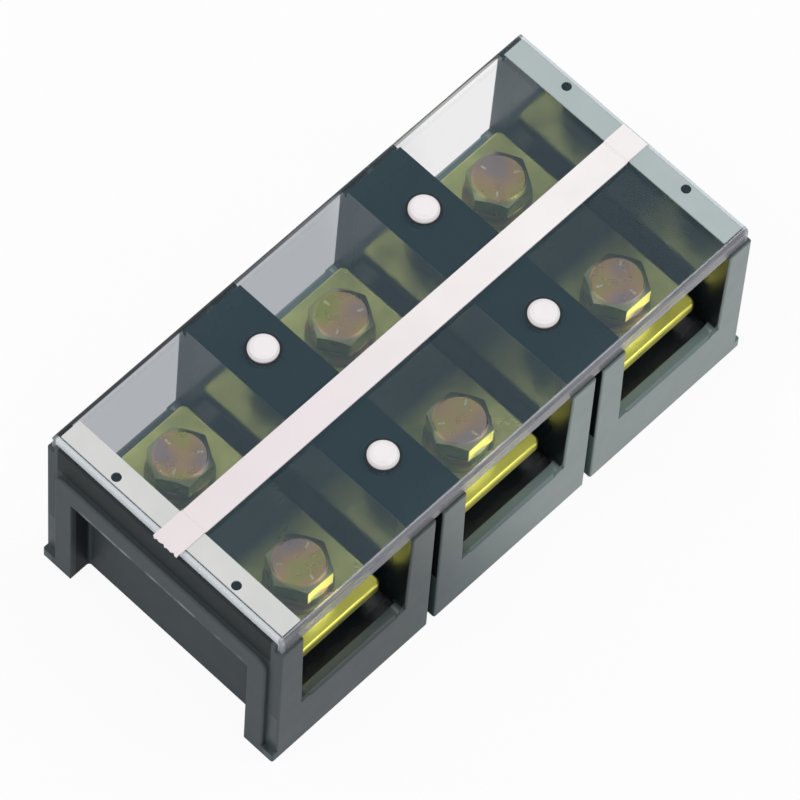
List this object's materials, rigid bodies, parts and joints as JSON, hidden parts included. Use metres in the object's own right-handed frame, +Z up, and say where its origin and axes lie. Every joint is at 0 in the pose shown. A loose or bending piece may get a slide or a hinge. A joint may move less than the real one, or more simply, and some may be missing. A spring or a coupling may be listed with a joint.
{
  "type": "terminal block",
  "caption": "Black power terminal block with barriers, brass bars, hexagon bolts and a clear cover held by push rivets.",
  "frame": {"origin": "middle of the footprint, on the plane of the feet", "axes": "+X along the row of ways, +Y across it to the back row of bolts, +Z up through the cover"},
  "size_m": [0.1128, 0.0542, 0.0421],
  "materials": {
    "phenolic": "moulded, satin",
    "clear_cover": "clear, polished",
    "white_strip": "matt",
    "pale_strip": "satin",
    "bar_brass": "passivated",
    "bolt_steel": "yellow passivated zinc",
    "washer_steel": "yellow passivated zinc",
    "screw_steel": "zinc plated",
    "white_nylon": "satin"
  },
  "bodies": {
    "body": {"base": "phenolic", "left_bar": "bar_brass", "middle_bar": "bar_brass", "right_bar": "bar_brass", "left_bar_screw": "screw_steel", "middle_bar_screw": "screw_steel", "right_bar_screw": "screw_steel"},
    "left_front_washers": {"left_front_flat_washer": "washer_steel", "left_front_lock_washer": "washer_steel"},
    "left_front_bolt": {"left_front_bolt": "bolt_steel"},
    "left_back_washers": {"left_back_flat_washer": "washer_steel", "left_back_lock_washer": "washer_steel"},
    "left_back_bolt": {"left_back_bolt": "bolt_steel"},
    "middle_front_washers": {"middle_front_flat_washer": "washer_steel", "middle_front_lock_washer": "washer_steel"},
    "middle_front_bolt": {"middle_front_bolt": "bolt_steel"},
    "middle_back_washers": {"middle_back_flat_washer": "washer_steel", "middle_back_lock_washer": "washer_steel"},
    "middle_back_bolt": {"middle_back_bolt": "bolt_steel"},
    "right_front_washers": {"right_front_flat_washer": "washer_steel", "right_front_lock_washer": "washer_steel"},
    "right_front_bolt": {"right_front_bolt": "bolt_steel"},
    "right_back_washers": {"right_back_flat_washer": "washer_steel", "right_back_lock_washer": "washer_steel"},
    "right_back_bolt": {"right_back_bolt": "bolt_steel"},
    "cover": {"cover": "clear_cover", "marker_strip": "white_strip", "left_end_strip": "pale_strip", "right_end_strip": "pale_strip"},
    "front_rivet_1": {"front_rivet_1": "white_nylon"},
    "front_rivet_2": {"front_rivet_2": "white_nylon"},
    "back_rivet_1": {"back_rivet_1": "white_nylon"},
    "back_rivet_2": {"back_rivet_2": "white_nylon"}
  },
  "joints": [
    {"name": "left_front_washers_rise", "type": "slide", "parent": "body", "child": "left_front_washers", "axis": [0, 0, 1], "range_m": [0, 0.003]},
    {"name": "left_front_bolt_turn", "type": "hinge", "parent": "left_front_washers", "child": "left_front_bolt", "pos_m": [-0.0377, -0.0138, 0.0238], "axis": [0, 0, 1], "range_deg": [0, 1080]},
    {"name": "left_back_washers_rise", "type": "slide", "parent": "body", "child": "left_back_washers", "axis": [0, 0, 1], "range_m": [0, 0.003]},
    {"name": "left_back_bolt_turn", "type": "hinge", "parent": "left_back_washers", "child": "left_back_bolt", "pos_m": [-0.0377, 0.0138, 0.0238], "axis": [0, 0, 1], "range_deg": [0, 1080]},
    {"name": "middle_front_washers_rise", "type": "slide", "parent": "body", "child": "middle_front_washers", "axis": [0, 0, 1], "range_m": [0, 0.003]},
    {"name": "middle_front_bolt_turn", "type": "hinge", "parent": "middle_front_washers", "child": "middle_front_bolt", "pos_m": [0, -0.0138, 0.0238], "axis": [0, 0, 1], "range_deg": [0, 1080]},
    {"name": "middle_back_washers_rise", "type": "slide", "parent": "body", "child": "middle_back_washers", "axis": [0, 0, 1], "range_m": [0, 0.003]},
    {"name": "middle_back_bolt_turn", "type": "hinge", "parent": "middle_back_washers", "child": "middle_back_bolt", "pos_m": [0, 0.0138, 0.0238], "axis": [0, 0, 1], "range_deg": [0, 1080]},
    {"name": "right_front_washers_rise", "type": "slide", "parent": "body", "child": "right_front_washers", "axis": [0, 0, 1], "range_m": [0, 0.003]},
    {"name": "right_front_bolt_turn", "type": "hinge", "parent": "right_front_washers", "child": "right_front_bolt", "pos_m": [0.0377, -0.0138, 0.0238], "axis": [0, 0, 1], "range_deg": [0, 1080]},
    {"name": "right_back_washers_rise", "type": "slide", "parent": "body", "child": "right_back_washers", "axis": [0, 0, 1], "range_m": [0, 0.003]},
    {"name": "right_back_bolt_turn", "type": "hinge", "parent": "right_back_washers", "child": "right_back_bolt", "pos_m": [0.0377, 0.0138, 0.0238], "axis": [0, 0, 1], "range_deg": [0, 1080]},
    {"name": "cover_lift", "type": "slide", "parent": "body", "child": "cover", "axis": [0, 0, 1], "range_m": [0, 0.03]},
    {"name": "front_rivet_1_pull", "type": "slide", "parent": "cover", "child": "front_rivet_1", "axis": [0, 0, 1], "range_m": [0, 0.012]},
    {"name": "front_rivet_2_pull", "type": "slide", "parent": "cover", "child": "front_rivet_2", "axis": [0, 0, 1], "range_m": [0, 0.012]},
    {"name": "back_rivet_1_pull", "type": "slide", "parent": "cover", "child": "back_rivet_1", "axis": [0, 0, 1], "range_m": [0, 0.012]},
    {"name": "back_rivet_2_pull", "type": "slide", "parent": "cover", "child": "back_rivet_2", "axis": [0, 0, 1], "range_m": [0, 0.012]}
  ],
  "couplings": [
    {"joint": "left_front_bolt_turn", "follows": "left_front_washers_rise", "rad_per_m": 6283.2},
    {"joint": "left_back_bolt_turn", "follows": "left_back_washers_rise", "rad_per_m": 6283.2},
    {"joint": "middle_front_bolt_turn", "follows": "middle_front_washers_rise", "rad_per_m": 6283.2},
    {"joint": "middle_back_bolt_turn", "follows": "middle_back_washers_rise", "rad_per_m": 6283.2},
    {"joint": "right_front_bolt_turn", "follows": "right_front_washers_rise", "rad_per_m": 6283.2},
    {"joint": "right_back_bolt_turn", "follows": "right_back_washers_rise", "rad_per_m": 6283.2}
  ]
}
